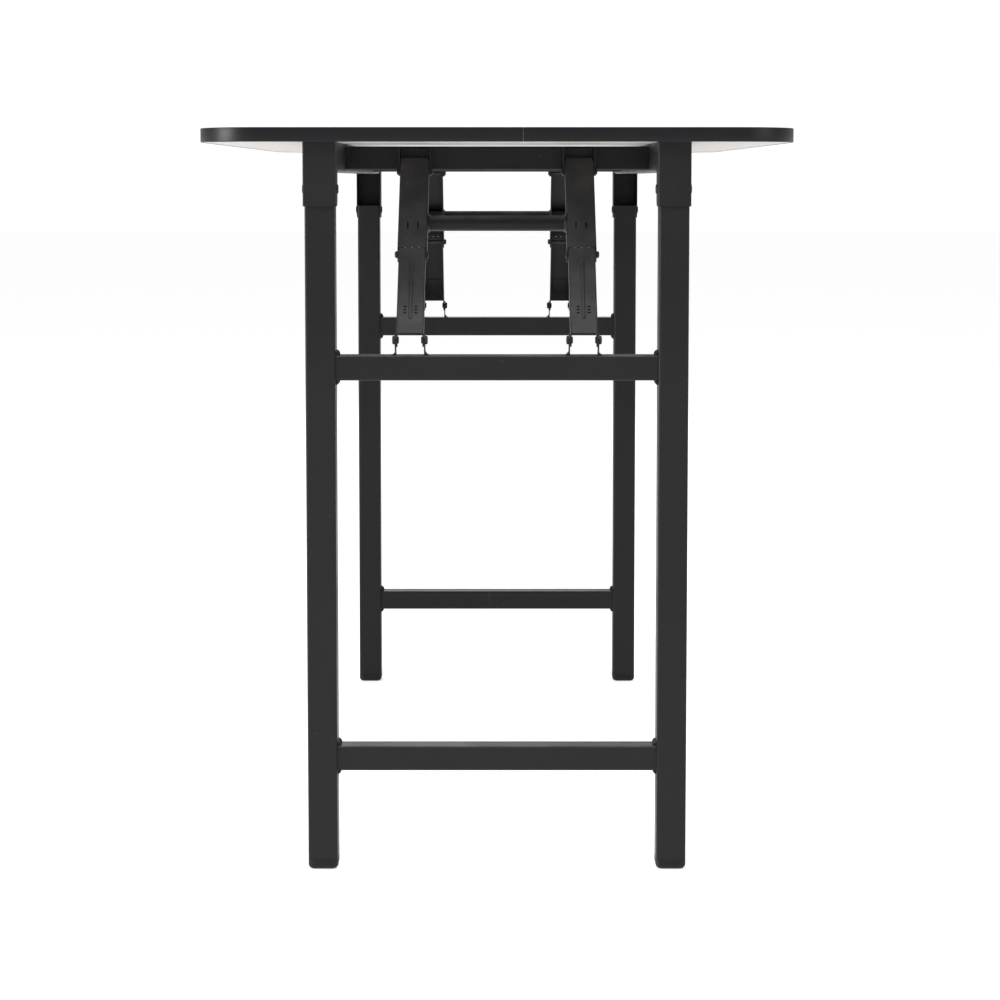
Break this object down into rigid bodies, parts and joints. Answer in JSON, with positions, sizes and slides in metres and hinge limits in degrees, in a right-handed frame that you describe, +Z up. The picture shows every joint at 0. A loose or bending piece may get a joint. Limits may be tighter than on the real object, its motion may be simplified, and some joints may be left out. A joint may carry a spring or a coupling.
{
  "type": "folding table",
  "caption": "Rectangular folding table with rounded corners, square-tube leg frames that fold flat under the board, and jointed elbow braces.",
  "frame": {"origin": "on the floor, under the middle of the board", "axes": "+Z up, +Y along the board from the near end to the far end, +X to the right seen from the near end"},
  "size_m": [0.6, 1, 0.75],
  "materials": {
    "top_laminate": "satin white melamine laminate",
    "bottom_laminate": "matt off-white backing laminate",
    "board_core": "pressed particle board, hidden",
    "edge_band": "fine-textured black edge band",
    "frame_paint": "satin black powder coat",
    "pin_metal": "black-coated steel pins and rivets",
    "foot_plastic": "moulded black plastic",
    "screw_zinc": "zinc-plated steel"
  },
  "bodies": {
    "table_top": {"board_core": "board_core", "top_laminate": "top_laminate", "bottom_laminate": "bottom_laminate", "edge_band": "edge_band", "side_rail_left": "frame_paint", "side_rail_right": "frame_paint", "frame_screws": "screw_zinc", "near_cross_rail": "frame_paint", "near_leg_pins": "pin_metal", "near_brace_top_pins": "pin_metal", "near_left_leg_bracket": "frame_paint", "near_right_leg_bracket": "frame_paint", "near_left_brace_clip": "frame_paint", "near_right_brace_clip": "frame_paint", "far_cross_rail": "frame_paint", "far_leg_pins": "pin_metal", "far_brace_top_pins": "pin_metal", "far_left_leg_bracket": "frame_paint", "far_right_leg_bracket": "frame_paint", "far_left_brace_clip": "frame_paint", "far_right_brace_clip": "frame_paint"},
    "near_leg_frame": {"near_left_leg": "frame_paint", "near_right_leg": "frame_paint", "near_feet": "foot_plastic", "near_upper_crossbar": "frame_paint", "near_lower_crossbar": "frame_paint", "near_welds": "frame_paint", "near_brace_lugs": "frame_paint", "near_lug_rivets": "pin_metal"},
    "near_upper_braces": {"near_left_brace_upper_link": "frame_paint", "near_right_brace_upper_link": "frame_paint", "near_brace_tie": "frame_paint"},
    "near_left_lower_brace": {"near_left_brace_lower_link": "frame_paint", "near_left_brace_backing_plate": "frame_paint", "near_left_brace_knee_pin": "pin_metal", "near_left_brace_rivet_tails": "pin_metal"},
    "near_right_lower_brace": {"near_right_brace_lower_link": "frame_paint", "near_right_brace_backing_plate": "frame_paint", "near_right_brace_knee_pin": "pin_metal", "near_right_brace_rivet_tails": "pin_metal"},
    "far_leg_frame": {"far_left_leg": "frame_paint", "far_right_leg": "frame_paint", "far_feet": "foot_plastic", "far_upper_crossbar": "frame_paint", "far_lower_crossbar": "frame_paint", "far_welds": "frame_paint", "far_brace_lugs": "frame_paint", "far_lug_rivets": "pin_metal"},
    "far_upper_braces": {"far_left_brace_upper_link": "frame_paint", "far_right_brace_upper_link": "frame_paint", "far_brace_tie": "frame_paint"},
    "far_left_lower_brace": {"far_left_brace_lower_link": "frame_paint", "far_left_brace_backing_plate": "frame_paint", "far_left_brace_knee_pin": "pin_metal", "far_left_brace_rivet_tails": "pin_metal"},
    "far_right_lower_brace": {"far_right_brace_lower_link": "frame_paint", "far_right_brace_backing_plate": "frame_paint", "far_right_brace_knee_pin": "pin_metal", "far_right_brace_rivet_tails": "pin_metal"}
  },
  "joints": [
    {"name": "near_leg_fold", "type": "hinge", "parent": "table_top", "child": "near_leg_frame", "pos_m": [0, -0.47, 0.689], "axis": [1, 0, 0], "range_deg": [0, 90]},
    {"name": "near_brace_top_pivot", "type": "hinge", "parent": "table_top", "child": "near_upper_braces", "pos_m": [0, -0.3195, 0.707], "axis": [1, 0, 0], "range_deg": [-32, 0]},
    {"name": "near_left_brace_knee", "type": "hinge", "parent": "near_upper_braces", "child": "near_left_lower_brace", "pos_m": [-0.087, -0.40103, 0.6214], "axis": [1, 0, 0], "range_deg": [0, 166.4]},
    {"name": "near_right_brace_knee", "type": "hinge", "parent": "near_upper_braces", "child": "near_right_lower_brace", "pos_m": [0.087, -0.40103, 0.6214], "axis": [1, 0, 0], "range_deg": [0, 166.4]},
    {"name": "far_leg_fold", "type": "hinge", "parent": "table_top", "child": "far_leg_frame", "pos_m": [0, 0.47, 0.657], "axis": [-1, 0, 0], "range_deg": [0, 90]},
    {"name": "far_brace_top_pivot", "type": "hinge", "parent": "table_top", "child": "far_upper_braces", "pos_m": [0, 0.337, 0.707], "axis": [-1, 0, 0], "range_deg": [-33.7, 0]},
    {"name": "far_left_brace_knee", "type": "hinge", "parent": "far_upper_braces", "child": "far_left_lower_brace", "pos_m": [-0.087, 0.40964, 0.61404], "axis": [-1, 0, 0], "range_deg": [0, 150.2]},
    {"name": "far_right_brace_knee", "type": "hinge", "parent": "far_upper_braces", "child": "far_right_lower_brace", "pos_m": [0.087, 0.40964, 0.61404], "axis": [-1, 0, 0], "range_deg": [0, 150.2]}
  ],
  "couplings": [
    {"joint": "near_brace_top_pivot", "follows": "near_leg_fold", "ratio": -0.3551},
    {"joint": "near_left_brace_knee", "follows": "near_leg_fold", "ratio": 1.8478},
    {"joint": "near_right_brace_knee", "follows": "near_leg_fold", "ratio": 1.8478},
    {"joint": "far_brace_top_pivot", "follows": "far_leg_fold", "ratio": -0.3736},
    {"joint": "far_left_brace_knee", "follows": "far_leg_fold", "ratio": 1.6679},
    {"joint": "far_right_brace_knee", "follows": "far_leg_fold", "ratio": 1.6679}
  ]
}
